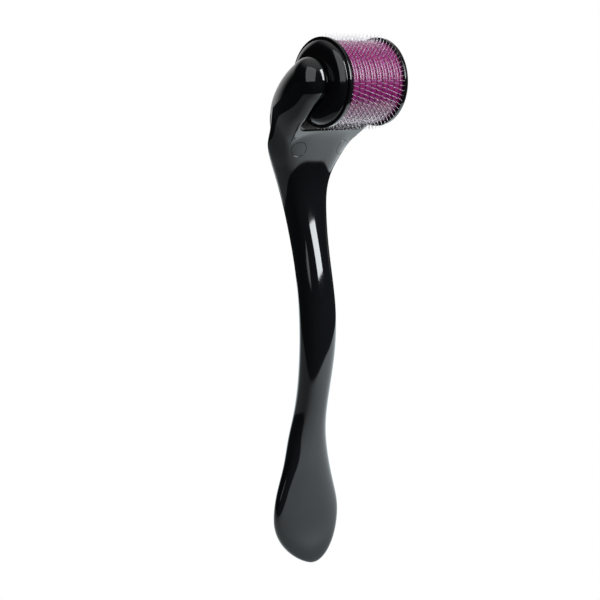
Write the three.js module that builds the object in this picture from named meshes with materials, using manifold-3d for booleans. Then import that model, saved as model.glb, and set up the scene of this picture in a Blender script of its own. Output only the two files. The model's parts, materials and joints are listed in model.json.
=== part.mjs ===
// A hand-held derma roller: a one-piece moulded handle whose top is a two-armed fork, and a drum
// of needle discs and spacer rings that turns freely between the arms.
//
// Millimetres. +Z runs up the handle from the tip of its paddle, +X runs along the drum's axis, and
// -Y is the side of the handle that the drum stands out of. The origin is under the middle of the
// object's box, at the height of the paddle's tip.

import * as THREE from 'three';
import { ConvexGeometry } from 'three/addons/geometries/ConvexGeometry.js';
import { ParametricGeometry } from 'three/addons/geometries/ParametricGeometry.js';
import { mergeVertices } from 'three/addons/utils/BufferGeometryUtils.js';
import Module from 'manifold-3d';

const wasm = await Module();
wasm.setup();

// The drum's axis stands this high above the paddle's tip.
const AXIS_HEIGHT = 130.4;

// Drum: a stack of discs and rings on a hexagonal core, held between two flanged caps.
const NEEDLE_ROWS = 9;
const NEEDLES_PER_ROW = 60;
const NEEDLE_TIP_RADIUS = 12;
const NEEDLE_BASE_WIDTH = 0.5;
const DRUM_RADIUS = 10.15;
const DRUM_LENGTH = 17;
const DISC_BODY_RADIUS = 10;
const DISC_THICKNESS = 0.4;
const STACK_GAP = 0.02;
const CORE_ACROSS_FLATS = 9;
const CORE_FIT = 0.06;
const CORE_BORE_RADIUS = 3.2;

// End caps: flange against the stack, rounded shoulder, flat face, spigot inwards, journal outwards.
const FLANGE_RADIUS = 11;
const FLANGE_WIDTH = 1;
const CAP_THICKNESS = 2.45;
const CAP_FACE_RADIUS = 8.5;
const THRUST_RADIUS = 4;
const THRUST_HEIGHT = 0.2;
const SPIGOT_RADIUS = 3.14;
const SPIGOT_LENGTH = 4;
const JOURNAL_RADIUS = 2.6;
const JOURNAL_LENGTH = 1.5;
const JOURNAL_CHAMFER = 0.3;

// Fork: two domed arms with round bosses about the drum's axis, and a saddle that clears the needles.
const FORK_GAP_HALF_WIDTH = 11.3;
const SADDLE_RADIUS = 13.8;
const SADDLE_BACK_RIM = -5.5;
const SOCKET_RADIUS = 2.68;
const SOCKET_DEPTH = 1.35;

// Seen from the side, the arms follow an arc about this place. Each station on it is a round bar
// along X with a domed end on each side: its angle from straight up in degrees, its radius, the half
// width where the domes start, and how far each dome stands out from there.
const ARC_MIDDLE = new THREE.Vector2(-9.8, -20.9);
const ARC_RADIUS = 24.05;
const ARM_STATIONS = [
  { turn: 28.5, radius: 6.15, halfWidth: 11.3, dome: 4.5 },
  { turn: 37, radius: 6.4, halfWidth: 11.3, dome: 4.4 },
  { turn: 47, radius: 6.7, halfWidth: 11.3, dome: 4 },
  { turn: 57, radius: 6.9, halfWidth: 11.2, dome: 3.2 },
  { turn: 67, radius: 6.5, halfWidth: 10.8, dome: 2.1 },
  { turn: 78, radius: 5.3, halfWidth: 9.6, dome: 1.4 },
  { turn: 90, radius: 4, halfWidth: 7.6, dome: 1 },
];

// The arms' front edges and the head's face lie in one plane that faces forwards and down, this far
// from the drum's axis.
const FACE_DOWN = THREE.MathUtils.degToRad(53);
const FACE_OFFSET = 4.9;

// Handle below the fork. Each station is a cross-section: its height above the paddle's tip, how far
// its middle lies behind the drum's axis, its half sizes across X and along Y, the exponent of its
// superellipse outline (2 is an ellipse, more is squarer), and how much narrower its front is than
// its middle, as a share.
const PADDLE_TIP_HEIGHT = 13.1;
const PADDLE_TIP_TAPER = 0.62;
const PADDLE_TIP_LEAN = 1.7;
const PADDLE_EDGE_SHARPNESS = 5;
const STATIONS = [
  { height: PADDLE_TIP_HEIGHT, behind: 21.4, halfWidth: 10.9, halfDepth: 2.8, squareness: 2.6, narrowing: 0 },
  { height: 20.4, behind: 21.4, halfWidth: 9.5, halfDepth: 3.1, squareness: 2.7, narrowing: 0 },
  { height: 27.4, behind: 20.8, halfWidth: 7.4, halfDepth: 3.3, squareness: 2.6, narrowing: 0 },
  { height: 35.4, behind: 20.1, halfWidth: 5.7, halfDepth: 3.6, squareness: 2.5, narrowing: 0 },
  { height: 42.4, behind: 18.6, halfWidth: 4.6, halfDepth: 3.9, squareness: 2.4, narrowing: 0 },
  { height: 54.4, behind: 15.9, halfWidth: 4.7, halfDepth: 4.2, squareness: 2.2, narrowing: 0 },
  { height: 67.4, behind: 14.5, halfWidth: 5.1, halfDepth: 4.4, squareness: 2.2, narrowing: 0 },
  { height: 80.4, behind: 15.6, halfWidth: 4.9, halfDepth: 4.4, squareness: 2.2, narrowing: 0 },
  { height: 90.4, behind: 17.4, halfWidth: 4.9, halfDepth: 4.5, squareness: 2.5, narrowing: 0 },
  { height: 97.4, behind: 18.5, halfWidth: 5.4, halfDepth: 4.6, squareness: 2.8, narrowing: 0.02 },
  { height: 103.4, behind: 18.9, halfWidth: 6.6, halfDepth: 4.8, squareness: 2.7, narrowing: 0.08 },
  { height: 107.9, behind: 18.3, halfWidth: 8.2, halfDepth: 4.9, squareness: 2.9, narrowing: 0.13 },
  { height: 112.4, behind: 16.7, halfWidth: 10.3, halfDepth: 5, squareness: 3.2, narrowing: 0.18 },
  { height: 115.9, behind: 15.1, halfWidth: 11.4, halfDepth: 4.8, squareness: 3.4, narrowing: 0.24 },
  { height: 119.4, behind: 13.5, halfWidth: 11.6, halfDepth: 4, squareness: 3.6, narrowing: 0.24 },
  { height: 124.4, behind: 12, halfWidth: 11.4, halfDepth: 2.6, squareness: 3.8, narrowing: 0.15 },
];

// Flat land on the back of the paddle, on which the roller can rest.
const LAND_BEHIND = 23.75;
const LAND_BOTTOM = 2;
const LAND_TOP = 26;

// The needle tips and the land are the object's foremost and rearmost places, so this puts the
// origin midway between them.
const AXIS_FORWARD = (LAND_BEHIND - NEEDLE_TIP_RADIUS) / 2;

// Facets of the curved surfaces.
const LOFT_SIDES = 32;
const LOFT_RINGS = 50;
const TIP_SHARE = 0.15;
const BAR_SEGMENTS = 28;
const DOME_SEGMENTS = 5;
const CUTTER_REACH = 30;
const ROUND_SEGMENTS = 40;
const SMALL_ROUND_SEGMENTS = 24;
const SHOULDER_SEGMENTS = 4;
const MERGE_DISTANCE = 1e-4;

const material = {
  blackPlastic: new THREE.MeshStandardMaterial({ color: 0x0d0e10, roughness: 0.12, metalness: 0 }),
  corePlastic: new THREE.MeshStandardMaterial({ color: 0x2a2a2d, roughness: 0.5, metalness: 0 }),
  magentaPlastic: new THREE.MeshStandardMaterial({ color: 0x9a2a7c, roughness: 0.2, metalness: 0 }),
  steel: new THREE.MeshStandardMaterial({ color: 0xc8cbd0, roughness: 0.25, metalness: 1 }),
};

/** Turns a closed three.js geometry into a solid that can be cut and joined. */
function solidFrom(geometry) {
  geometry.deleteAttribute('normal');
  geometry.deleteAttribute('uv');
  const merged = mergeVertices(geometry, MERGE_DISTANCE);
  const corners = merged.index.array;
  const triangles = [];
  for (let i = 0; i < corners.length; i += 3) {
    const [a, b, c] = corners.slice(i, i + 3);
    const collapsed = a === b || b === c || c === a;
    if (!collapsed) {
      triangles.push(a, b, c);
    }
  }
  const mesh = new wasm.Mesh({
    numProp: 3,
    vertProperties: merged.attributes.position.array,
    triVerts: new Uint32Array(triangles),
  });
  return new wasm.Manifold(mesh);
}

/** Turns a solid back into a three.js geometry. */
function geometryFrom(solid) {
  const mesh = solid.getMesh();
  const geometry = new THREE.BufferGeometry();
  geometry.setAttribute('position', new THREE.BufferAttribute(mesh.vertProperties, 3));
  geometry.setIndex(new THREE.BufferAttribute(mesh.triVerts, 1));
  geometry.computeVertexNormals();
  return geometry;
}

/** Extrudes an outline drawn in the side view (Y to the right, Z up) along X, from one x to another. */
function extrudeAcross(shape, fromX, toX, options = {}) {
  const geometry = new THREE.ExtrudeGeometry(shape, {
    depth: toX - fromX,
    curveSegments: options.curveSegments ?? SMALL_ROUND_SEGMENTS,
    bevelEnabled: false,
  });
  const sideView = new THREE.Matrix4().makeBasis(
    new THREE.Vector3(0, 1, 0),
    new THREE.Vector3(0, 0, 1),
    new THREE.Vector3(1, 0, 0),
  );
  geometry.applyMatrix4(sideView);
  geometry.translate(fromX, 0, 0);
  return geometry;
}

/** A closed body from the paddle's tip to inside the fork, with a superellipse at every height. */
function gripGeometry() {
  const spine = new THREE.CatmullRomCurve3(
    STATIONS.map((s) => new THREE.Vector3(s.squareness, s.behind, s.height - AXIS_HEIGHT)),
  );
  const sizes = new THREE.CatmullRomCurve3(
    STATIONS.map((s) => new THREE.Vector3(s.halfWidth, s.halfDepth, s.narrowing)),
  );
  const middle = new THREE.Vector3();
  const size = new THREE.Vector3();

  const placePoint = (around, along, target) => {
    const onTip = along < TIP_SHARE;
    const curvePlace = onTip ? 0 : (along - TIP_SHARE) / (1 - 2 * TIP_SHARE);
    spine.getPoint(Math.min(curvePlace, 1), middle);
    sizes.getPoint(Math.min(curvePlace, 1), size);
    let widthShare = 1;
    let depthShare = 1;
    if (onTip) {
      const reach = Math.cos((along / TIP_SHARE) * (Math.PI / 2));
      widthShare = Math.pow(Math.max(1 - reach ** 2, 0), PADDLE_TIP_TAPER);
      depthShare = Math.sqrt(Math.max(1 - reach ** PADDLE_EDGE_SHARPNESS, 0));
      middle.y -= reach ** 2 * PADDLE_TIP_LEAN;
      middle.z -= reach * PADDLE_TIP_HEIGHT;
    }
    if (curvePlace > 1) {
      const closing = 1 - (curvePlace - 1) / (TIP_SHARE / (1 - 2 * TIP_SHARE));
      widthShare = closing;
      depthShare = closing;
    }
    const angle = around * 2 * Math.PI;
    const power = 2 / middle.x;
    const across = Math.sign(Math.cos(angle)) * Math.abs(Math.cos(angle)) ** power;
    const back = Math.sign(Math.sin(angle)) * Math.abs(Math.sin(angle)) ** power;
    const halfWidth = size.x * (1 + size.z * back) * widthShare;
    target.set(across * halfWidth, middle.y + back * size.y * depthShare, middle.z);
  };
  return new ParametricGeometry(placePoint, LOFT_SIDES, LOFT_RINGS);
}

/** The surface points of a round bar along X with domed ends, at one station of the arms' arc. */
function armBarPoints({ turn, radius, halfWidth, dome }) {
  const station = THREE.MathUtils.degToRad(turn);
  const behind = ARC_MIDDLE.x + ARC_RADIUS * Math.sin(station);
  const height = ARC_MIDDLE.y + ARC_RADIUS * Math.cos(station);
  const points = [];
  for (let i = 0; i <= DOME_SEGMENTS; i += 1) {
    const lean = (i / DOME_SEGMENTS) * (Math.PI / 2);
    const x = halfWidth + dome * Math.cos(lean);
    for (let j = 0; j < BAR_SEGMENTS; j += 1) {
      const spoke = polarPoint(radius * Math.sin(lean), (j / BAR_SEGMENTS) * 2 * Math.PI);
      points.push(new THREE.Vector3(x, behind + spoke.x, height + spoke.y));
      points.push(new THREE.Vector3(-x, behind + spoke.x, height + spoke.y));
    }
  }
  return points;
}

/** A box that lies in front of the plane of the arms' front edges and the head's face. */
function faceCutter() {
  const geometry = new THREE.BoxGeometry(2 * CUTTER_REACH, CUTTER_REACH, 2 * CUTTER_REACH);
  geometry.translate(0, -FACE_OFFSET - CUTTER_REACH / 2, 0);
  geometry.rotateX(FACE_DOWN);
  return geometry;
}

/** Both arms and the head between them, before the slot is cut: bars joined along the arc. */
function forkSolid() {
  const bars = ARM_STATIONS.map(armBarPoints);
  const spans = bars.slice(1).map((bar, i) => solidFrom(new ConvexGeometry([...bars[i], ...bar])));
  const joined = spans.reduce((whole, span) => whole.add(span));
  return joined.subtract(solidFrom(faceCutter()));
}

/** The space kept free between the arms: round under the drum, open to the front, top and back. */
function slotOutline() {
  const far = CUTTER_REACH;
  const backAngle = Math.asin(SADDLE_BACK_RIM / SADDLE_RADIUS);
  const outline = new THREE.Shape();
  outline.moveTo(-far, far);
  outline.lineTo(-far, 0);
  outline.lineTo(-SADDLE_RADIUS, 0);
  outline.absarc(0, 0, SADDLE_RADIUS, Math.PI, 2 * Math.PI + backAngle, false);
  outline.lineTo(far, SADDLE_BACK_RIM);
  outline.lineTo(far, far);
  return outline;
}

/** A cylinder along X, centred on the drum's axis. */
function axleCylinder(radius, length) {
  const geometry = new THREE.CylinderGeometry(radius, radius, length, SMALL_ROUND_SEGMENTS);
  geometry.rotateZ(Math.PI / 2);
  return geometry;
}

/** The box that is planed off the back of the paddle to leave its flat land. */
function landCutter() {
  const depth = 10;
  const geometry = new THREE.BoxGeometry(CUTTER_REACH, depth, LAND_TOP - LAND_BOTTOM);
  geometry.translate(0, LAND_BEHIND + depth / 2, (LAND_TOP + LAND_BOTTOM) / 2 - AXIS_HEIGHT);
  return geometry;
}

/** The handle, drawn about the drum's axis. */
function handleGeometry() {
  const slot = extrudeAcross(slotOutline(), -FORK_GAP_HALF_WIDTH, FORK_GAP_HALF_WIDTH);
  const sockets = axleCylinder(SOCKET_RADIUS, 2 * (FORK_GAP_HALF_WIDTH + SOCKET_DEPTH));
  const solid = solidFrom(gripGeometry())
    .add(forkSolid())
    .subtract(solidFrom(slot))
    .subtract(solidFrom(sockets))
    .subtract(solidFrom(landCutter()));
  return geometryFrom(solid);
}

/** A regular hexagon as a path, flats up and down, with the given distance across its flats. */
function hexagon(PathType, acrossFlats) {
  const cornerRadius = acrossFlats / Math.sqrt(3);
  const corners = [];
  for (let i = 0; i < 6; i += 1) {
    const angle = (i * Math.PI) / 3;
    corners.push(new THREE.Vector2(cornerRadius * Math.cos(angle), cornerRadius * Math.sin(angle)));
  }
  return new PathType(corners);
}

/** The drum's core: a hexagonal bar that keys the discs and rings, bored for the caps' spigots. */
function coreGeometry() {
  const outline = hexagon(THREE.Shape, CORE_ACROSS_FLATS - 2 * CORE_FIT);
  const bore = new THREE.Path();
  bore.absarc(0, 0, CORE_BORE_RADIUS, 0, 2 * Math.PI, true);
  outline.holes.push(bore);
  const halfLength = DRUM_LENGTH / 2 - STACK_GAP;
  return extrudeAcross(outline, -halfLength, halfLength);
}

/** One steel disc centred on x = 0, with its needles turned on by a share of their pitch. */
function needleDiscGeometry(shift) {
  const baseAngle = NEEDLE_BASE_WIDTH / DISC_BODY_RADIUS / 2;
  const points = [];
  for (let i = 0; i < NEEDLES_PER_ROW; i += 1) {
    const angle = ((i + shift) / NEEDLES_PER_ROW) * 2 * Math.PI;
    points.push(polarPoint(DISC_BODY_RADIUS, angle - baseAngle));
    points.push(polarPoint(NEEDLE_TIP_RADIUS, angle));
    points.push(polarPoint(DISC_BODY_RADIUS, angle + baseAngle));
  }
  const outline = new THREE.Shape(points);
  outline.holes.push(hexagon(THREE.Path, CORE_ACROSS_FLATS));
  return extrudeAcross(outline, -DISC_THICKNESS / 2, DISC_THICKNESS / 2);
}

function polarPoint(radius, angle) {
  return new THREE.Vector2(radius * Math.cos(angle), radius * Math.sin(angle));
}

/** One plastic ring that keeps two discs apart, centred on x = 0. */
function spacerRingGeometry(thickness) {
  const outline = new THREE.Shape();
  outline.absarc(0, 0, DRUM_RADIUS, 0, 2 * Math.PI, false);
  outline.holes.push(hexagon(THREE.Path, CORE_ACROSS_FLATS));
  return extrudeAcross(outline, -thickness / 2, thickness / 2, { curveSegments: ROUND_SEGMENTS / 2 });
}

/** An end cap turned about X, for the +X end of the drum. */
function endCapGeometry() {
  const flangeStart = DRUM_LENGTH / 2;
  const shoulderStart = flangeStart + FLANGE_WIDTH;
  const face = flangeStart + CAP_THICKNESS;
  const thrustFace = face + THRUST_HEIGHT;
  const journalEnd = thrustFace + JOURNAL_LENGTH;
  const profile = [
    new THREE.Vector2(0, flangeStart - SPIGOT_LENGTH),
    new THREE.Vector2(SPIGOT_RADIUS, flangeStart - SPIGOT_LENGTH),
    new THREE.Vector2(SPIGOT_RADIUS, flangeStart),
    new THREE.Vector2(FLANGE_RADIUS, flangeStart),
  ];
  for (let i = 0; i <= SHOULDER_SEGMENTS; i += 1) {
    const angle = (i / SHOULDER_SEGMENTS) * (Math.PI / 2);
    const radius = CAP_FACE_RADIUS + (FLANGE_RADIUS - CAP_FACE_RADIUS) * Math.cos(angle);
    profile.push(new THREE.Vector2(radius, shoulderStart + (face - shoulderStart) * Math.sin(angle)));
  }
  profile.push(
    new THREE.Vector2(THRUST_RADIUS, face),
    new THREE.Vector2(THRUST_RADIUS, thrustFace),
    new THREE.Vector2(JOURNAL_RADIUS, thrustFace),
    new THREE.Vector2(JOURNAL_RADIUS, journalEnd - JOURNAL_CHAMFER),
    new THREE.Vector2(JOURNAL_RADIUS - JOURNAL_CHAMFER, journalEnd),
    new THREE.Vector2(0, journalEnd),
  );
  const geometry = new THREE.LatheGeometry(profile, ROUND_SEGMENTS);
  geometry.rotateZ(-Math.PI / 2);
  return geometry;
}

/** Adds one named piece to a group, at a place along X. */
function addPiece(group, name, geometry, pieceMaterial, x = 0) {
  const mesh = new THREE.Mesh(geometry, pieceMaterial);
  mesh.name = name;
  mesh.position.x = x;
  group.add(mesh);
  return mesh;
}

/** The discs and rings, stacked along X from one flange to the other. */
function addStack(drum) {
  const gapCount = 2 * NEEDLE_ROWS + 2;
  const ringTotal = DRUM_LENGTH - NEEDLE_ROWS * DISC_THICKNESS - gapCount * STACK_GAP;
  const innerRing = ringTotal / NEEDLE_ROWS;
  const outerRing = innerRing / 2;
  const discs = [needleDiscGeometry(0), needleDiscGeometry(0.5)];
  let x = -DRUM_LENGTH / 2;
  for (let i = 0; i <= NEEDLE_ROWS; i += 1) {
    const thickness = i === 0 || i === NEEDLE_ROWS ? outerRing : innerRing;
    x += STACK_GAP + thickness / 2;
    addPiece(drum, `spacer_ring_${i + 1}`, spacerRingGeometry(thickness), material.magentaPlastic, x);
    x += thickness / 2 + STACK_GAP + DISC_THICKNESS / 2;
    if (i < NEEDLE_ROWS) {
      addPiece(drum, `needle_disc_${i + 1}`, discs[i % 2], material.steel, x);
    }
    x += DISC_THICKNESS / 2;
  }
}

/** The turning drum, drawn about its own axis. */
function makeDrum() {
  const drum = new THREE.Group();
  addPiece(drum, 'drum_core', coreGeometry(), material.corePlastic);
  addStack(drum);
  addPiece(drum, 'end_cap_right', endCapGeometry(), material.blackPlastic);
  const left = addPiece(drum, 'end_cap_left', endCapGeometry(), material.blackPlastic);
  left.rotation.z = Math.PI;
  return drum;
}

const dermaRoller = new THREE.Group();
dermaRoller.position.set(0, -AXIS_FORWARD, AXIS_HEIGHT);
addPiece(dermaRoller, 'handle', handleGeometry(), material.blackPlastic);
dermaRoller.add(makeDrum());

export default dermaRoller;
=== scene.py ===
"""Looks of the derma roller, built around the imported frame.

Shapes are drawn in millimetres about the drum's axis: x along the axis, y to the back, z up. place() then
carries them into the frame, which is in metres.
"""

import json
import math

import bpy
import numpy as np
from mathutils import Matrix, Vector


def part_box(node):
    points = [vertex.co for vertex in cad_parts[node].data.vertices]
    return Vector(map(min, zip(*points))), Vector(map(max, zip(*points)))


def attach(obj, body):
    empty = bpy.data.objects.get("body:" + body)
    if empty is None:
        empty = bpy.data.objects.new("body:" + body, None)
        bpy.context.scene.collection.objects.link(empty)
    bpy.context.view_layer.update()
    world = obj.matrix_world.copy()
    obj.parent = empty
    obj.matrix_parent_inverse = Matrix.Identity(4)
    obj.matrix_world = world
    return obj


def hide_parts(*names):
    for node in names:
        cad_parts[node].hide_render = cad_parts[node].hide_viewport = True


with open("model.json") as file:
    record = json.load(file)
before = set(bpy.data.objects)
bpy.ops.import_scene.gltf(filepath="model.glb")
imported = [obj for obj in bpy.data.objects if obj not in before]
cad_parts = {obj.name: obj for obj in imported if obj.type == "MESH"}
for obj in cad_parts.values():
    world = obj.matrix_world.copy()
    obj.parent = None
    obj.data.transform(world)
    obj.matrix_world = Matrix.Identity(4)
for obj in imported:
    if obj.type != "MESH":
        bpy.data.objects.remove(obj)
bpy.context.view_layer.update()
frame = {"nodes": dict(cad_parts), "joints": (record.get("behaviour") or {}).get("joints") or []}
AXIS = Vector(frame["joints"][0]["pos_m"])
MM = 0.001

# Needles, in millimetres. The taper goes from the root inside the disc to the point: distance from the drum's
# axis, and share of the full thickness there.
NEEDLE_ROWS = 9
NEEDLES_PER_ROW = 60
NEEDLE_TIP_RADIUS = 12.0
NEEDLE_HALF_WIDTH = 0.08
NEEDLE_HALF_DEPTH = 0.06
NEEDLE_SIDES = 8
NEEDLE_TAPER = [(9.4, 1.3), (10.0, 1.15), (10.6, 0.95), (11.2, 0.7), (11.6, 0.45), (11.85, 0.22)]

# Discs and rings. A ring here is wider than in the frame by the widening, so that only a fine line of each
# disc shows between two rings.
DRUM_RADIUS = 10.15
DRUM_LENGTH = 17.0
DISC_THICKNESS = 0.12
DISC_RADIUS = 9.8
RING_WIDENING = 0.28
RING_BORE_RADIUS = 5.3
RING_CROWN = 0.03
RING_EDGE = 0.1
RING_SEGMENTS = 120

# End caps: a spigot inside the core, a thin flange against the last ring, and a hub with a dished face, a
# small boss and the journal. The hub's outer edge is a tight arc that runs on into a long shallow one. The
# two turns say where each of them ends, in degrees from the axis.
CAP_THICKNESS = 2.45
CAP_SEGMENTS = 128
SPIGOT_RADIUS = 3.14
SPIGOT_END_RADIUS = 2.9
SPIGOT_LENGTH = 4.0
SPIGOT_EDGE = 0.2
FLANGE_RADIUS = 11.0
FLANGE_WIDTH = 0.95
FLANGE_EDGE = 0.04
HUB_RADIUS = 10.2
HUB_WALL = 0.2
HUB_EDGE = 0.5
HUB_SLOPE = 3.6
HUB_TURNS = (46, 18)
HUB_LIP = 0.3
DISH_RADIUS = 7.0
DISH_DEPTH = 0.06
BOSS_FOOT_RADIUS = 4.25
BOSS_RADIUS = 4.0
BOSS_TOP_RADIUS = 3.8
BOSS_HEIGHT = 0.2
BOSS_EDGE = 0.15
JOURNAL_RADIUS = 2.6
JOURNAL_LENGTH = 1.7
JOURNAL_CHAMFER = 0.3

# Edges sharper than these, in degrees, stay sharp when a piece of the drum is shaded smooth.
DRUM_SHARP_ANGLE = 40
CAP_SHARP_ANGLE = 28

# Fork, in millimetres.
FORK_GAP_HALF = 11.3
SADDLE_RADIUS = 13.8
SADDLE_BACK_RIM = -5.5
SADDLE_CORNER = 3.2
SADDLE_RIM_BLEND = 1.6
SLOT_EDGE = 0.5
SOCKET_RADIUS = 2.68
SOCKET_DEPTH = 1.35
SOCKET_CHAMFER = 0.1
SOCKET_SEGMENTS = 48

# The arms' front edges and the head's face lie in one plane that faces forwards and down. It passes this far
# from the drum's axis.
FACE_DOWN = math.radians(53)
FACE_OFFSET = 4.9
FACE_SIZE = 6.2
FACE_EDGE = 0.16

# Seen from the side, the middle line of an arm is an arc about this place (y, z) with this radius. The arm's
# outer face is a dome that stands on a straight slab.
ARC_MIDDLE = (-9.8, -20.9)
ARC_RADIUS = 24.05
# Stations along that arc, from the boss down into the head: angle from straight up, radius of the arm in the
# side view, half width of the slab, and height of the dome on it.
ARM_STATIONS = np.array([
    [28.5, 6.15, 11.3, 4.5],
    [37.0, 6.4, 11.3, 4.4],
    [47.0, 6.7, 11.3, 4.0],
    [57.0, 6.9, 11.2, 3.2],
    [67.0, 6.5, 10.8, 2.1],
    [78.0, 5.3, 9.6, 1.4],
    [90.0, 4.0, 7.6, 1.0],
])
HEAD_BLEND = 2.4

# Round mark that an ejector pin leaves near each side of the head's face.
WITNESS_PLACE = (7.3, 11.6, -16.5)
WITNESS_RADIUS = 2.1
WITNESS_DEPTH = 0.08
WITNESS_SEGMENTS = 56
WITNESS_SIDES = 4

# Stations of the handle below the fork, from the paddle up: height over the drum's axis, place behind it,
# half width, half depth, squareness of the section, and how much narrower its front is than its middle.
STATIONS = np.array([
    [-117.3, 21.4, 10.9, 2.8, 2.6, 0.0],
    [-110.0, 21.4, 9.5, 3.1, 2.7, 0.0],
    [-103.0, 20.8, 7.4, 3.3, 2.6, 0.0],
    [-95.0, 20.1, 5.7, 3.6, 2.5, 0.0],
    [-88.0, 18.6, 4.6, 3.9, 2.4, 0.0],
    [-76.0, 15.9, 4.7, 4.2, 2.2, 0.0],
    [-63.0, 14.5, 5.1, 4.4, 2.2, 0.0],
    [-50.0, 15.6, 4.9, 4.4, 2.2, 0.0],
    [-40.0, 17.4, 4.9, 4.5, 2.5, 0.0],
    [-33.0, 18.5, 5.4, 4.6, 2.8, 0.02],
    [-27.0, 18.9, 6.6, 4.8, 2.7, 0.08],
    [-22.5, 18.3, 8.2, 4.9, 2.9, 0.13],
    [-18.0, 16.7, 10.3, 5.0, 3.2, 0.18],
    [-14.5, 15.1, 11.4, 4.8, 3.4, 0.24],
    [-11.0, 13.5, 11.6, 4.0, 3.6, 0.24],
    [-6.0, 12.0, 11.4, 2.6, 3.8, 0.15],
])
GRIP_TOP_BLEND = 1.5

# The rounded tip below the lowest station, and the flat land on the paddle's back.
PADDLE_TIP_LENGTH = 13.3
PADDLE_TIP_TAPER = 0.63
PADDLE_TIP_LEAN = 2.7
PADDLE_EDGE_SHARPNESS = 5
LAND_BEHIND = 23.75
LAND_EDGE = 0.3

# The handle's surface is found on a grid of cells between these corners, given about the drum's axis.
HANDLE_LOW = (-16.2, -7.4, -131.6)
HANDLE_HIGH = (16.2, 25.4, 7.6)
HANDLE_CELL = 0.45
SURFACE_TOLERANCE = 0.02


# ---------------------------------------------------------------- curves and fields

def cubic_spline(knots, values, x):
    """Cubic spline through the knots: level at the first, unbent at the last, constant beyond both."""
    knots = np.asarray(knots, float)
    values = np.asarray(values, float)
    n = len(knots)
    h = np.diff(knots)
    system = np.zeros((n, n))
    right = np.zeros(n)
    system[0, 0] = 2 * h[0]
    system[0, 1] = h[0]
    right[0] = 6 * ((values[1] - values[0]) / h[0])
    system[-1, -1] = 1
    for i in range(1, n - 1):
        system[i, i - 1] = h[i - 1]
        system[i, i] = 2 * (h[i - 1] + h[i])
        system[i, i + 1] = h[i]
        right[i] = 6 * ((values[i + 1] - values[i]) / h[i] - (values[i] - values[i - 1]) / h[i - 1])
    bend = np.linalg.solve(system, right)
    x = np.clip(x, knots[0], knots[-1])
    i = np.clip(np.searchsorted(knots, x) - 1, 0, n - 2)
    a = (knots[i + 1] - x) / h[i]
    b = (x - knots[i]) / h[i]
    curve = a * values[i] + b * values[i + 1]
    return curve + ((a ** 3 - a) * bend[i] + (b ** 3 - b) * bend[i + 1]) * h[i] ** 2 / 6


def smooth_union(a, b, radius):
    """The lower of two fields, with the crease between them filled to about this radius."""
    h = np.clip(0.5 + 0.5 * (b - a) / radius, 0, 1)
    return b + (a - b) * h - radius * h * (1 - h)


def smooth_cut(a, b, radius):
    """Field a with field b taken away, the new edge rounded to about this radius."""
    return -smooth_union(-a, b, radius)


def grip_field(p):
    """Signed distance, roughly, to the body from the paddle's tip to the saddle."""
    x, y, z = p.T
    widest = STATIONS[0, 0]
    middle, half_width, half_depth, square, narrowing = (
        cubic_spline(STATIONS[:, 0], STATIONS[:, column], z) for column in range(1, 6)
    )
    below = np.clip(widest - z, 0, None)
    down = below / PADDLE_TIP_LENGTH
    middle = middle - PADDLE_TIP_LEAN * down ** 2
    half_width = half_width * np.clip(1 - down ** 2, 1e-4, 1) ** PADDLE_TIP_TAPER
    half_depth = half_depth * np.clip(1 - down ** PADDLE_EDGE_SHARPNESS, 1e-4, 1) ** 0.5
    depth = (y - middle) / half_depth
    half_width = half_width * (1 + narrowing * np.clip(depth, -1, 1))
    level = ((np.abs(x) / half_width) ** square + np.abs(depth) ** square) ** (1 / square) + 1e-9
    reach = np.sqrt(x ** 2 + (y - middle) ** 2 + below ** 2)
    distance = (level - 1) * (reach + 1e-6) / level
    above = z - STATIONS[-1, 0]
    return -smooth_union(-distance, -above, GRIP_TOP_BLEND)


def arm_field(p):
    """Signed distance, roughly, to the two arms."""
    x, y, z = p.T
    turn = np.degrees(np.arctan2(y - ARC_MIDDLE[0], z - ARC_MIDDLE[1]))
    turn = np.clip(turn, ARM_STATIONS[0, 0], ARM_STATIONS[-1, 0])
    radius, slab, dome = (
        cubic_spline(ARM_STATIONS[:, 0], ARM_STATIONS[:, column], turn) for column in range(1, 4)
    )
    turn = np.radians(turn)
    behind = y - ARC_MIDDLE[0] - ARC_RADIUS * np.sin(turn)
    above = z - ARC_MIDDLE[1] - ARC_RADIUS * np.cos(turn)
    share = np.hypot(behind, above) / radius
    forwards = -math.cos(FACE_DOWN) * y - math.sin(FACE_DOWN) * z
    share = -smooth_union(-share, -(1 + (forwards - FACE_OFFSET) / FACE_SIZE), FACE_EDGE)
    share = np.clip(share, 0, None)
    out = np.clip(np.abs(x) - slab, 0, None) / dome
    level = np.hypot(share, out)
    reach = np.hypot(share * radius, out * dome)
    return (level - 1) * np.maximum(reach, 0.5) / np.maximum(level, 1e-6)


def slot_field(p):
    """Signed distance to the space between the arms: round under the drum, open above the saddle's rim."""
    x, y, z = p.T
    round_part = np.hypot(y, z) - SADDLE_RADIUS
    open_part = SADDLE_BACK_RIM - z
    side = smooth_union(round_part, open_part, SADDLE_RIM_BLEND)
    return -smooth_union(-side, FORK_GAP_HALF - np.abs(x), SADDLE_CORNER)


def handle_field(p):
    """Signed distance, roughly, to the handle without its two sockets. Negative inside."""
    y = p[:, 1]
    body = smooth_union(grip_field(p), arm_field(p), HEAD_BLEND)
    body = smooth_cut(body, slot_field(p), SLOT_EDGE)
    return -smooth_union(-body, LAND_BEHIND - y, LAND_EDGE)


def gradient(field, p, step=0.02):
    """Slope of the field at each point, from its values a short step to either side."""
    slopes = np.empty_like(p)
    for axis in range(3):
        shift = np.zeros(3)
        shift[axis] = step
        slopes[:, axis] = (field(p + shift) - field(p - shift)) / (2 * step)
    return slopes


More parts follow.
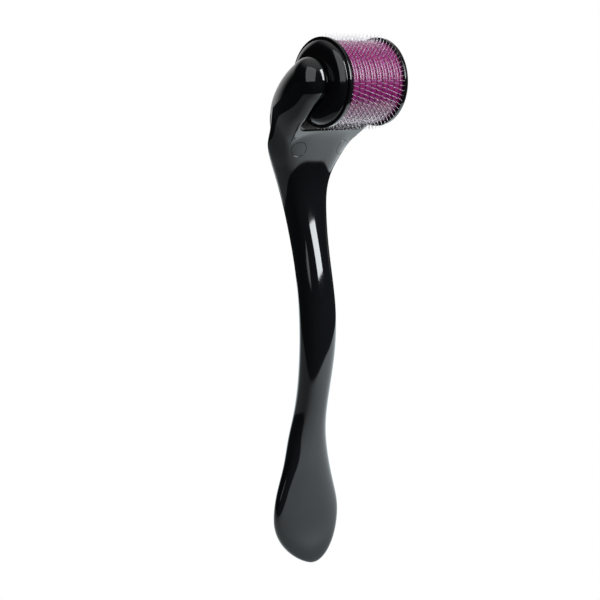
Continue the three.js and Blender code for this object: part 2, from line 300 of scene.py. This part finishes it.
def onto_surface(field, p, rounds=4, farthest=0.6):
    """Moves points along the field's slope until they lie on its zero surface."""
    for _ in range(rounds):
        slopes = gradient(field, p)
        steep = np.maximum((slopes ** 2).sum(1), 1e-4)
        step = -(field(p) / steep)[:, None] * slopes
        length = np.linalg.norm(step, axis=1, keepdims=True)
        p = p + step * np.minimum(1, farthest / np.maximum(length, 1e-9))
    return p


def surface_net(field, low, high, cell):
    """Quads around the field's zero surface: one point in each cell that it crosses."""
    counts = [int(math.ceil((high[i] - low[i]) / cell)) + 1 for i in range(3)]
    axes = [low[i] + cell * np.arange(counts[i]) for i in range(3)]
    values = np.empty(counts)
    for i, x in enumerate(axes[0]):
        yy, zz = np.meshgrid(axes[1], axes[2], indexing="ij")
        values[i] = field(np.stack([np.full(yy.size, x), yy.ravel(), zz.ravel()], 1)).reshape(yy.shape)
    inside = values < 0
    total = np.zeros([c - 1 for c in counts] + [3])
    hits = np.zeros([c - 1 for c in counts])
    shape = hits.shape
    for axis in range(3):
        u, v = [a for a in range(3) if a != axis]
        for du in (0, 1):
            for dv in (0, 1):
                near = [slice(None)] * 3
                near[axis] = slice(0, shape[axis])
                near[u] = slice(du, du + shape[u])
                near[v] = slice(dv, dv + shape[v])
                far = list(near)
                far[axis] = slice(1, shape[axis] + 1)
                a, b = values[tuple(near)], values[tuple(far)]
                cross = (a < 0) != (b < 0)
                t = np.where(cross, a / np.where(cross, a - b, 1), 0)
                total[..., axis] += np.where(cross, t, 0)
                total[..., u] += np.where(cross, du, 0)
                total[..., v] += np.where(cross, dv, 0)
                hits += cross
    used = hits > 0
    number = np.full(shape, -1)
    number[used] = np.arange(used.sum())
    cells = np.argwhere(used)
    points = np.array(low) + cell * (cells + total[used] / hits[used][:, None])
    quads = []
    for axis in range(3):
        u, v = (axis + 1) % 3, (axis + 2) % 3
        core = [slice(1, shape[a]) for a in range(3)]
        core[axis] = slice(0, shape[axis])
        ahead = list(core)
        ahead[axis] = slice(1, shape[axis] + 1)
        a, b = inside[tuple(core)], inside[tuple(ahead)]
        for wanted, order in ((a & ~b, (0, 1, 2, 3)), (b & ~a, (3, 2, 1, 0))):
            spot = np.argwhere(wanted)
            spot[:, u] += 1
            spot[:, v] += 1
            around = []
            for du, dv in ((-1, -1), (0, -1), (0, 0), (-1, 0)):
                c = spot.copy()
                c[:, u] += du
                c[:, v] += dv
                around.append(number[c[:, 0], c[:, 1], c[:, 2]])
            quads.append(np.stack([around[o] for o in order], 1))
    return points, np.concatenate(quads)


def even_out(field, points, quads, rounds=6):
    """Slides points along the surface towards the middle of their neighbours, so that quads come out even."""
    edges = np.concatenate([quads[:, [i, (i + 1) % 4]] for i in range(4)])
    edges = np.concatenate([edges, edges[:, ::-1]])
    degree = np.bincount(edges[:, 0], minlength=len(points))[:, None]
    for _ in range(rounds):
        mean = np.zeros_like(points)
        np.add.at(mean, edges[:, 0], points[edges[:, 1]])
        step = mean / degree - points
        normal = gradient(field, points)
        normal /= np.maximum(np.linalg.norm(normal, axis=1, keepdims=True), 1e-9)
        step -= (step * normal).sum(1, keepdims=True) * normal
        points = onto_surface(field, points + 0.6 * step, rounds=2)
    return points


# ---------------------------------------------------------------- pieces

def place(points):
    """Millimetres about the drum's axis to metres in the frame."""
    return np.asarray(points, float) * MM + np.array(AXIS)


def add_piece(name, points, faces, body, material, replaced=(), smooth_angle=None):
    """A piece of the object that rides on a body, in place of the frame's nodes named in replaced."""
    mesh = bpy.data.meshes.new(name)
    mesh.from_pydata(place(points).tolist(), [], [tuple(int(i) for i in f) for f in faces])
    mesh.validate()
    mesh.shade_smooth()
    if smooth_angle is not None:
        mesh.set_sharp_from_angle(angle=math.radians(smooth_angle))
    mesh.materials.append(material)
    piece = bpy.data.objects.new(name, mesh)
    bpy.context.scene.collection.objects.link(piece)
    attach(piece, body)
    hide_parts(*replaced)
    return piece


def turned(profile, segments, closed):
    """Turns a profile of (x, radius) points about the x axis. A closed profile joins its own ends."""
    points = []
    rows = []
    for x, radius in profile:
        if radius < 1e-6:
            rows.append([len(points)] * segments)
            points.append((x, 0.0, 0.0))
            continue
        rows.append(list(range(len(points), len(points) + segments)))
        for i in range(segments):
            angle = 2 * math.pi * i / segments
            points.append((x, radius * math.cos(angle), radius * math.sin(angle)))
    faces = []
    last = len(rows) if closed else len(rows) - 1
    for i in range(last):
        a, b = rows[i], rows[(i + 1) % len(rows)]
        for j in range(segments):
            k = (j + 1) % segments
            face = [a[j], a[k], b[k], b[j]]
            distinct = list(dict.fromkeys(face))
            if len(distinct) > 2:
                faces.append(distinct)
    return np.array(points), faces


def arc(cx, cr, size, start, end, count):
    """Points of an arc in the (x, radius) plane, with angles in degrees."""
    angles = np.radians(np.linspace(start, end, count))
    return [(cx + size * math.cos(a), cr + size * math.sin(a)) for a in angles]


def socket_cutter(side):
    """A closed cylinder about the drum's axis, for the blind socket in the arm on one side (-1 or 1)."""
    start = FORK_GAP_HALF - 1
    end = FORK_GAP_HALF + SOCKET_DEPTH
    profile = [(start, 0), (start, SOCKET_RADIUS)]
    profile += [(end - SOCKET_CHAMFER, SOCKET_RADIUS), (end, SOCKET_RADIUS - SOCKET_CHAMFER), (end, 0)]
    points, faces = turned(profile, SOCKET_SEGMENTS, False)
    if side < 0:
        points = points * np.array([-1, 1, 1])
        faces = [list(reversed(f)) for f in faces]
    return points, faces


def witness_ring(side):
    """A thin ring laid on the head's face, which cuts the round mark that an ejector pin leaves there."""
    angles = np.linspace(0, 2 * math.pi, WITNESS_SEGMENTS, endpoint=False)
    middle = np.array([side * WITNESS_PLACE[0], WITNESS_PLACE[1], WITNESS_PLACE[2]])
    normal = gradient(handle_field, middle[None])[0]
    normal /= np.linalg.norm(normal)
    level = np.cross(normal, [0, 0, 1])
    level /= np.linalg.norm(level)
    upright = np.cross(level, normal)
    flat = WITNESS_RADIUS * (np.cos(angles)[:, None] * level + np.sin(angles)[:, None] * upright)
    line = onto_surface(handle_field, middle + flat)
    points = []
    for place_on, outwards in zip(line, flat / WITNESS_RADIUS):
        for j in range(WITNESS_SIDES):
            turn = 2 * math.pi * j / WITNESS_SIDES
            points.append(place_on + WITNESS_DEPTH * (math.cos(turn) * outwards + math.sin(turn) * normal))
    faces = []
    for i in range(WITNESS_SEGMENTS):
        k = (i + 1) % WITNESS_SEGMENTS
        for j in range(WITNESS_SIDES):
            m = (j + 1) % WITNESS_SIDES
            here, ahead = WITNESS_SIDES * i, WITNESS_SIDES * k
            faces.append([here + j, here + m, ahead + m, ahead + j])
    return np.array(points), faces


def build_handle(material):
    """The handle in one piece, with its two sockets and its two round marks."""
    cell = HANDLE_CELL
    points, faces = surface_net(handle_field, HANDLE_LOW, HANDLE_HIGH, cell)
    points = onto_surface(handle_field, points)
    points = even_out(handle_field, points, faces)
    for side in (-1, 1):
        points, faces = combined((points, faces), socket_cutter(side), "DIFFERENCE")
        points, faces = combined((points, faces), witness_ring(side), "DIFFERENCE")
    handle = add_piece("handle_shell", points, faces, "handle", material, ["handle"])
    smooth_from_field(handle.data, points)


def smooth_from_field(mesh, points):
    """Gives the outer surface the field's own normals. Faces of the cuts keep theirs."""
    slopes = gradient(handle_field, points)
    slopes /= np.maximum(np.linalg.norm(slopes, axis=1, keepdims=True), 1e-9)
    off_surface = np.abs(handle_field(points)) > SURFACE_TOLERANCE
    normals = np.zeros((len(mesh.loops), 3))
    for face in mesh.polygons:
        corners = list(face.vertices)
        if off_surface[corners].any():
            face.use_smooth = False
            continue
        agrees = slopes[corners] @ np.array(face.normal)
        if agrees.min() > 0.3:
            normals[list(face.loop_indices)] = slopes[corners]
    mesh.normals_split_custom_set(normals.tolist())


def turned_on(points, shift):
    """Points turned about the x axis by a share of the needles' pitch."""
    angle = 2 * math.pi * shift / NEEDLES_PER_ROW
    y = points[:, 1] * math.cos(angle) - points[:, 2] * math.sin(angle)
    z = points[:, 1] * math.sin(angle) + points[:, 2] * math.cos(angle)
    return np.stack([points[:, 0], y, z], 1)


def stack_places():
    """Middle of each disc and (middle, thickness) of each ring along x, as the frame's stack has them."""
    discs = []
    rings = []
    for i in range(NEEDLE_ROWS):
        low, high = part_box(f"needle_disc_{i + 1}")
        discs.append(((low + high).x / 2 - AXIS.x) / MM)
    for i in range(NEEDLE_ROWS + 1):
        low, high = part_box(f"spacer_ring_{i + 1}")
        rings.append((((low + high).x / 2 - AXIS.x) / MM, (high - low).x / MM))
    return discs, rings


def needle_disc(shift):
    """One disc as one closed mesh about x = 0, its needles turned on by a share of their pitch."""
    half = DISC_THICKNESS / 2
    profile = [(-half, RING_BORE_RADIUS), (half, RING_BORE_RADIUS), (half, DISC_RADIUS), (-half, DISC_RADIUS)]
    points, faces = turned(profile[::-1], 2 * NEEDLES_PER_ROW, True)
    points = turned_on(points, shift)
    spikes = []
    spike_faces = []
    for i in range(NEEDLES_PER_ROW):
        angle = 2 * math.pi * (i + shift) / NEEDLES_PER_ROW
        out = np.array([0.0, math.cos(angle), math.sin(angle)])
        round_way = np.array([0.0, -math.sin(angle), math.cos(angle)])
        rows = []
        for radius, share in NEEDLE_TAPER:
            rows.append(list(range(len(spikes), len(spikes) + NEEDLE_SIDES)))
            for k in range(NEEDLE_SIDES):
                turn = 2 * math.pi * k / NEEDLE_SIDES
                across = NEEDLE_HALF_WIDTH * math.cos(turn) * round_way
                along = NEEDLE_HALF_DEPTH * math.sin(turn) * np.array([1.0, 0.0, 0.0])
                spikes.append(out * radius + share * (across + along))
        rows.append([len(spikes)] * NEEDLE_SIDES)
        spikes.append(out * NEEDLE_TIP_RADIUS)
        spike_faces.append(rows[0])
        for a, b in zip(rows[:-1], rows[1:]):
            for k in range(NEEDLE_SIDES):
                m = (k + 1) % NEEDLE_SIDES
                face = [a[k], b[k], b[m], a[m]]
                spike_faces.append(list(dict.fromkeys(face)))
    return combined((points, faces), (np.array(spikes), spike_faces), "UNION")


def mesh_of(name, points, faces):
    mesh = bpy.data.meshes.new(name)
    mesh.from_pydata(np.asarray(points).tolist(), [], [[int(i) for i in f] for f in faces])
    return mesh


def combined(first, second, operation):
    """Points and faces of two closed meshes joined (UNION), or of the first less the second (DIFFERENCE)."""
    a = bpy.data.objects.new("first", mesh_of("first", *first))
    b = bpy.data.objects.new("second", mesh_of("second", *second))
    for piece in (a, b):
        bpy.context.scene.collection.objects.link(piece)
    change = a.modifiers.new("combine", "BOOLEAN")
    change.operation = operation
    change.solver = "EXACT"
    change.object = b
    bpy.context.view_layer.update()
    result = bpy.data.meshes.new_from_object(a.evaluated_get(bpy.context.evaluated_depsgraph_get()))
    points = np.empty(3 * len(result.vertices))
    result.vertices.foreach_get("co", points)
    faces = [list(f.vertices) for f in result.polygons]
    for piece in (a, b):
        bpy.data.objects.remove(piece)
    bpy.data.meshes.remove(result)
    return points.reshape(-1, 3), faces


def ring_profile(half):
    """Closed section of a ring: two shallow crowns outside, or one on an end ring, and a plain bore."""
    edge = RING_EDGE
    base = DRUM_RADIUS - RING_CROWN
    crowns = 2 if half > 0.5 else 1
    outside = []
    for x in np.linspace(-half + edge, half - edge, 17):
        share = (x + half) / (2 * half)
        wave = abs(math.sin(crowns * math.pi * share))
        outside.append((x, base + RING_CROWN * wave ** 0.8))
    left = arc(-half + edge, base - edge, edge, 180, 110, 4)
    right = arc(half - edge, base - edge, edge, 70, 0, 4)
    bore = [(half, RING_BORE_RADIUS), (-half, RING_BORE_RADIUS)]
    return left + outside + right + bore


def cap_profile():
    """Section of the +x end cap, from the spigot's end on the axis to the journal's end on the axis."""
    inner = DRUM_LENGTH / 2
    face = inner + CAP_THICKNESS
    rim_end = inner + FLANGE_WIDTH
    spigot_end = inner - SPIGOT_LENGTH
    boss_top = face + BOSS_HEIGHT
    journal_end = face + JOURNAL_LENGTH
    profile = [(spigot_end, 0), (spigot_end, SPIGOT_END_RADIUS)]
    profile += arc(spigot_end + SPIGOT_EDGE, SPIGOT_RADIUS - SPIGOT_EDGE, SPIGOT_EDGE, 180, 90, 3)
    profile += [(inner, SPIGOT_RADIUS), (inner, FLANGE_RADIUS - FLANGE_EDGE)]
    profile += arc(inner + FLANGE_EDGE, FLANGE_RADIUS - FLANGE_EDGE, FLANGE_EDGE, 165, 90, 4)
    profile += arc(rim_end - FLANGE_EDGE, FLANGE_RADIUS - FLANGE_EDGE, FLANGE_EDGE, 90, 0, 5)
    profile += hub_shoulder(rim_end, face)
    profile += [(face - DISH_DEPTH, DISH_RADIUS), (face - DISH_DEPTH, BOSS_FOOT_RADIUS)]
    profile += arc(boss_top - BOSS_EDGE, BOSS_RADIUS, BOSS_EDGE, 100, 10, 4)
    profile += [(boss_top, BOSS_TOP_RADIUS), (boss_top, JOURNAL_RADIUS)]
    profile += [(journal_end - JOURNAL_CHAMFER, JOURNAL_RADIUS)]
    profile += [(journal_end, JOURNAL_RADIUS - JOURNAL_CHAMFER), (journal_end, 0)]
    return profile


def hub_shoulder(start_x, face_x):
    """From the flange's outer side to the cap's face: a tight round edge, then a long shallow one."""
    first, last = HUB_TURNS
    middle = (start_x + HUB_WALL, HUB_RADIUS - HUB_EDGE)
    inwards = HUB_SLOPE - HUB_EDGE
    turn = math.radians(first)
    long_middle = (middle[0] - inwards * math.cos(turn), middle[1] - inwards * math.sin(turn))
    points = [(start_x, HUB_RADIUS)]
    points += arc(*middle, HUB_EDGE, 90, first, 8)
    points += arc(*long_middle, HUB_SLOPE, first, last, 9)[1:]
    points.append((face_x, points[-1][1] - HUB_LIP))
    return points


def build_drum(ring_material, needle_material, cap_material):
    """All the drum's pieces but its core, each in the place of the frame's node of the same name."""
    discs, rings = stack_places()
    patterns = [needle_disc(0), needle_disc(0.5)]
    for i, x in enumerate(discs):
        points, faces = patterns[i % 2]
        name = f"needle_disc_{i + 1}"
        add_drum_piece(name, points + np.array([x, 0, 0]), faces, needle_material)
    for i, (x, thickness) in enumerate(rings):
        points, faces = turned(ring_profile((thickness + RING_WIDENING) / 2), RING_SEGMENTS, True)
        name = f"spacer_ring_{i + 1}"
        add_drum_piece(name, points + np.array([x, 0, 0]), faces, ring_material)
    points, faces = turned(cap_profile(), CAP_SEGMENTS, False)
    mirrored = points * np.array([-1, 1, 1])
    flipped = [list(reversed(f)) for f in faces]
    add_drum_piece("end_cap_right", points, faces, cap_material, CAP_SHARP_ANGLE)
    add_drum_piece("end_cap_left", mirrored, flipped, cap_material, CAP_SHARP_ANGLE)


def add_drum_piece(node, points, faces, material, smooth_angle=DRUM_SHARP_ANGLE):
    """A piece that turns with the drum and stands for one node of the frame."""
    add_piece(f"{node}_fine", points, faces, "drum", material, [node], smooth_angle)


# ---------------------------------------------------------------- materials

def add_node(tree, kind, inputs=(), **settings):
    """A node with its settings. Each input is linked to another node's output or given a value."""
    node = tree.nodes.new(kind)
    for key, value in settings.items():
        setattr(node, key, value)
    for key, value in dict(inputs).items():
        if hasattr(value, "links"):
            tree.links.new(value, node.inputs[key])
        else:
            node.inputs[key].default_value = value
    return node


class Shader:
    """A node material with short ways to add and link nodes."""

    def __init__(self, name):
        self.material = bpy.data.materials.new(name)
        self.material.use_nodes = True
        self.tree = self.material.node_tree
        self.tree.nodes.clear()
        self.output = self.tree.nodes.new("ShaderNodeOutputMaterial")
        self.surface = self.tree.nodes.new("ShaderNodeBsdfPrincipled")
        self.link(self.surface.outputs[0], self.output.inputs["Surface"])
        self.coordinates = self.tree.nodes.new("ShaderNodeTexCoord").outputs["Object"]

    def link(self, source, target):
        self.tree.links.new(source, target)

    def node(self, kind, inputs=(), **settings):
        return add_node(self.tree, kind, inputs, **settings)

    def math(self, operation, a, b):
        return self.node("ShaderNodeMath", {0: a, 1: b}, operation=operation).outputs[0]

    def vector_math(self, operation, a, b=(0, 0, 0)):
        return self.node("ShaderNodeVectorMath", {0: a, 1: b}, operation=operation)

    def set(self, **inputs):
        """Links or sets inputs of the surface. An underscore in a name stands for a space."""
        for key, value in inputs.items():
            socket = self.surface.inputs[key.replace("_", " ")]
            if hasattr(value, "links"):
                self.link(value, socket)
            else:
                socket.default_value = value

    def noise(self, scale, detail=2.0, stretch=(1, 1, 1)):
        """A cloud pattern with this many lumps to the metre, drawn out along axes with a small stretch."""
        mapping = self.node("ShaderNodeMapping", {"Vector": self.coordinates, "Scale": stretch})
        inputs = {"Vector": mapping.outputs[0], "Scale": scale, "Detail": detail, "Roughness": 0.5}
        return self.node("ShaderNodeTexNoise", inputs).outputs["Fac"]

    def ramp(self, value, low, high, from_low=0.0, from_high=1.0):
        """A number carried from one range to another."""
        return self.map_range(value, low, high, from_low, from_high)

    def smooth_ramp(self, value, low, high, from_low, from_high):
        """As ramp, with soft ends."""
        return self.map_range(value, low, high, from_low, from_high, interpolation_type="SMOOTHSTEP")

    def map_range(self, value, low, high, from_low, from_high, **settings):
        inputs = {"Value": value, "From Min": from_low, "From Max": from_high, "To Min": low, "To Max": high}
        return self.node("ShaderNodeMapRange", inputs, **settings).outputs[0]

    def mix(self, share, a, b):
        """A colour between two others."""
        node = self.node("ShaderNodeMix", data_type="RGBA")
        for socket, value in (("Factor", share), ("A", a), ("B", b)):
            found = [s for s in node.inputs if s.name == socket and s.enabled][0]
            if hasattr(value, "links"):
                self.link(value, found)
            else:
                found.default_value = value
        return [s for s in node.outputs if s.enabled][0]

    def bump(self, height, distance, strength, normal=None):
        """A normal tilted by a height pattern, on top of another normal if one is given."""
        inputs = {"Height": height, "Distance": distance, "Strength": strength}
        if normal is not None:
            inputs["Normal"] = normal
        return self.node("ShaderNodeBump", inputs).outputs[0]


def gloss_black(name, base, roughness):
    """Moulded glossy plastic: slow waviness from the mould, hairline scratches and faint smears."""
    s = Shader(name)
    smear = s.noise(160, 3.0)
    tint = s.mix(s.noise(60, 2.0), (*base, 1), (*[c * 1.35 for c in base], 1))
    waviness = s.bump(s.noise(70, 1.0), 0.00002, 0.25)
    scratches = s.bump(s.noise(900, 2.0, (1, 1, 0.06)), 0.000002, 0.06, waviness)
    s.set(Base_Color=tint, Roughness=s.ramp(smear, roughness * 0.6, roughness * 1.6), Normal=scratches)
    s.set(IOR=1.5)
    return s.material


def ring_magenta():
    """Magenta plastic of the rings: its colour varies softly, with fine turning marks."""
    s = Shader("ring_magenta")
    cloud = s.noise(420, 3.0)
    colour = s.mix(cloud, (0.085, 0.004, 0.045, 1), (0.135, 0.009, 0.075, 1))
    marks = s.bump(s.noise(9000, 2.0, (1, 0.05, 0.05)), 0.00001, 0.2)
    s.set(Base_Color=colour, Roughness=s.ramp(cloud, 0.16, 0.3), Normal=marks, IOR=1.49)
    s.set(Subsurface_Weight=0.15, Subsurface_Scale=0.0012)
    return s.material


def needle_steel():
    """Pale steel, slightly uneven, as ground needles are."""
    s = Shader("needle_steel")
    grain = s.noise(6000, 2.0)
    colour = s.mix(grain, (0.66, 0.64, 0.67, 1), (0.8, 0.78, 0.8, 1))
    s.set(Base_Color=colour, Metallic=0.3, Roughness=s.ramp(grain, 0.3, 0.45))
    return s.material


def core_plastic():
    """Dark grey plastic with a fine grain, for the tube inside the drum."""
    s = Shader("core_plastic")
    grain = s.noise(900, 3.0)
    colour = s.mix(grain, (0.03, 0.03, 0.034, 1), (0.06, 0.06, 0.065, 1))
    s.set(Base_Color=colour, Roughness=0.55, Normal=s.bump(grain, 0.00002, 0.3))
    return s.material


# ---------------------------------------------------------------- stage, light and camera

FLOOR_HALF_WIDTH = 6.0

# A painted pool of light on the table, in metres, that glows and is only seen in reflections. Painted shade
# makes it
# # dimmer close under the object and over a stretch to the left, and it ends in a sharp round edge.
POOL_MIDDLE = (0.095, 0.184, 0)
POOL_RADIUS = 0.279
POOL_EDGE = 0.004
POOL_UNDER = 1.0
POOL_BRIGHT = 1.9
POOL_RISE = 0.11
POOL_BEYOND = 0.03
POOL_SIDE = (-0.1, 0.02)
POOL_SIDE_SHARE = 0.15
POOL_COLOUR = (0.88, 0.96, 1.0, 1)


def pale_floor():
    """Plain white to look at; in reflections it glows with a painted pool of light under the object, with
    painted shade close under it and to the left.
    """
    s = Shader("pale_floor")
    s.tree.nodes.remove(s.surface)
    level = s.vector_math("MULTIPLY", s.coordinates, (1, 1, 0)).outputs[0]
    distance = s.vector_math("LENGTH", level).outputs["Value"]
    # Painted shade: the pool is dimmer close under the object and brightens outwards.
    pool = s.smooth_ramp(distance, POOL_UNDER, POOL_BRIGHT, 0.0, POOL_RISE)
    from_middle = s.vector_math("DISTANCE", s.coordinates, POOL_MIDDLE).outputs["Value"]
    rim = (POOL_RADIUS - POOL_EDGE, POOL_RADIUS + POOL_EDGE)
    inside = s.smooth_ramp(from_middle, 1.0, 0.0, *rim)
    # Painted shade over a stretch to the left of the pool.
    sideways = s.node("ShaderNodeSeparateXYZ", {0: s.coordinates}).outputs["X"]
    painted_side_shade = s.smooth_ramp(sideways, POOL_SIDE_SHARE, 1.0, *POOL_SIDE)
    grain = s.ramp(s.noise(30, 3.0), 0.94, 1.06)
    for share in (inside, painted_side_shade, grain):
        pool = s.math("MULTIPLY", pool, share)
    # The floor glows with painted light in reflections only; to the camera it is plain white.
    seen = s.node("ShaderNodeEmission", {"Color": (1, 1, 1, 1), "Strength": 1.0})
    painted_glow = s.node("ShaderNodeEmission", {"Color": POOL_COLOUR, "Strength": s.math("ADD", pool, POOL_BEYOND)})
    to_camera = s.node("ShaderNodeLightPath").outputs["Is Camera Ray"]
    choose = s.node("ShaderNodeMixShader", {0: to_camera, 1: painted_glow.outputs[0], 2: seen.outputs[0]})
    s.link(choose.outputs[0], s.output.inputs["Surface"])
    return s.material


def build_floor():
    """A wide flat table at the frame's zero height."""
    half = FLOOR_HALF_WIDTH
    corners = [(-half, -half, 0), (half, -half, 0), (half, half, 0), (-half, half, 0)]
    mesh = bpy.data.meshes.new("floor")
    mesh.from_pydata(corners, [], [(0, 1, 2, 3)])
    mesh.materials.append(pale_floor())
    floor = bpy.data.objects.new("floor", mesh)
    bpy.context.scene.collection.objects.link(floor)


def area_light(name, location, target, size, power):
    """A soft box at a place, facing a target, with its size as (width, height)."""
    data = bpy.data.lights.new(name, "AREA")
    data.shape = "RECTANGLE"
    data.size, data.size_y = size
    data.energy = power
    data.color = SOFT_BOX_COLOUR
    lamp = bpy.data.objects.new(name, data)
    lamp.location = location
    lamp.rotation_euler = (Vector(target) - Vector(location)).to_track_quat("-Z", "Y").to_euler()
    bpy.context.scene.collection.objects.link(lamp)


def direction(azimuth, elevation):
    """Unit vector towards a place on the sky. Azimuth 0 is the front, -y, and 90 is +x."""
    a, e = math.radians(azimuth), math.radians(elevation)
    return Vector((math.sin(a) * math.cos(e), -math.cos(a) * math.cos(e), math.sin(e)))


# Soft boxes about the drum: azimuths and elevations of their edges in degrees, and brightness.
SOFT_BOXES = {
    "window_near": ((2, 36), (5, 50), 18),
    "window_far": ((41.5, 44), (8, 40), 5),
    "side_panel": ((-97, -49), (1, 56), 1.9),
}
SOFT_BOX_COLOUR = (0.93, 0.97, 1.0)
LIGHT_DISTANCE = 1.2


def build_lights():
    """Rectangles of even light, each as wide and high as its angles say when seen from the drum."""
    for name, (azimuths, elevations, brightness) in SOFT_BOXES.items():
        middle = direction(sum(azimuths) / 2, sum(elevations) / 2)
        width = 2 * LIGHT_DISTANCE * math.tan(math.radians(azimuths[1] - azimuths[0]) / 2)
        height = 2 * LIGHT_DISTANCE * math.tan(math.radians(elevations[1] - elevations[0]) / 2)
        power = brightness * math.pi * width * height
        area_light(name, AXIS + LIGHT_DISTANCE * middle, AXIS, (width, height), power)


# The camera stands this far from the drum, in metres, and looks past it by the two aims.
CAMERA_AZIMUTH = -39.0
CAMERA_ELEVATION = 9.3
CAMERA_ROLL = -1.4
CAMERA_DISTANCE = 0.301
CAMERA_LENS = 72.7
SENSOR = 36.0
AIM_LEFT = 0.01236
AIM_DOWN = 0.0541

# Bright parts of the surroundings: direction, cosines where the glow starts and is full, and its strength.
WORLD_LOBES = [
    (-direction(CAMERA_AZIMUTH, 0), 0.45, 0.78, 1.1),
    (Vector((0, 0, 1)), 0.6, 0.95, 0.9),
]
WORLD_DARK = 0.015


def build_world():
    """White to look at. In reflections it glows behind the object and overhead, and is dark elsewhere."""
    world = bpy.data.worlds.new("studio")
    bpy.context.scene.world = world
    world.use_nodes = True
    tree = world.node_tree
    tree.nodes.clear()

    def node(kind, inputs=(), **settings):
        return add_node(tree, kind, inputs, **settings)

    where = node("ShaderNodeTexCoord").outputs["Generated"]
    glow = WORLD_DARK
    for towards, start, end, strength in WORLD_LOBES:
        along = node("ShaderNodeVectorMath", {0: where, 1: towards}, operation="DOT_PRODUCT").outputs["Value"]
        inputs = {"Value": along, "From Min": start, "From Max": end, "To Min": 0.0, "To Max": strength}
        fade = node("ShaderNodeMapRange", inputs, interpolation_type="SMOOTHSTEP").outputs[0]
        glow = node("ShaderNodeMath", {0: glow, 1: fade}, operation="ADD").outputs[0]
    seen = node("ShaderNodeBackground", {"Color": (1, 1, 1, 1)}).outputs[0]
    painted_glow = node("ShaderNodeBackground", {"Strength": glow}).outputs[0]
    to_camera = node("ShaderNodeLightPath").outputs["Is Camera Ray"]
    choose = node("ShaderNodeMixShader", {0: to_camera, 1: painted_glow, 2: seen}).outputs[0]
    node("ShaderNodeOutputWorld", {"Surface": choose})


def build_camera():
    """A camera in front and to the left, a little above, turned about its own axis as the view needs."""
    back = direction(CAMERA_AZIMUTH, CAMERA_ELEVATION)
    azimuth, roll = math.radians(CAMERA_AZIMUTH), math.radians(CAMERA_ROLL)
    level = Vector((math.cos(azimuth), math.sin(azimuth), 0))
    upright = back.cross(level)
    right = level * math.cos(roll) + upright * math.sin(roll)
    up = upright * math.cos(roll) - level * math.sin(roll)
    place_of = AXIS - right * AIM_LEFT - up * AIM_DOWN + back * CAMERA_DISTANCE
    data = bpy.data.cameras.new("camera")
    data.lens = CAMERA_LENS
    data.sensor_width = SENSOR
    data.clip_start = 0.01
    camera = bpy.data.objects.new("camera", data)
    turn = Matrix((right, up, back)).transposed()
    camera.matrix_world = Matrix.Translation(place_of) @ turn.to_4x4()
    bpy.context.scene.collection.objects.link(camera)
    bpy.context.scene.camera = camera


# ---------------------------------------------------------------- assembly

def main():
    """Builds everything around the frame. Only the drum's core keeps its own shape from the frame."""
    handle_material = gloss_black("handle_gloss_black", (0.0024, 0.0025, 0.003), 0.055)
    cap_material = gloss_black("cap_gloss_black", (0.0024, 0.0024, 0.003), 0.085)
    build_handle(handle_material)
    build_drum(ring_magenta(), needle_steel(), cap_material)
    frame["nodes"]["drum_core"].data.materials.clear()
    frame["nodes"]["drum_core"].data.materials.append(core_plastic())
    build_floor()
    build_lights()
    build_world()
    build_camera()
    bpy.context.scene.view_settings.view_transform = "Standard"


main()
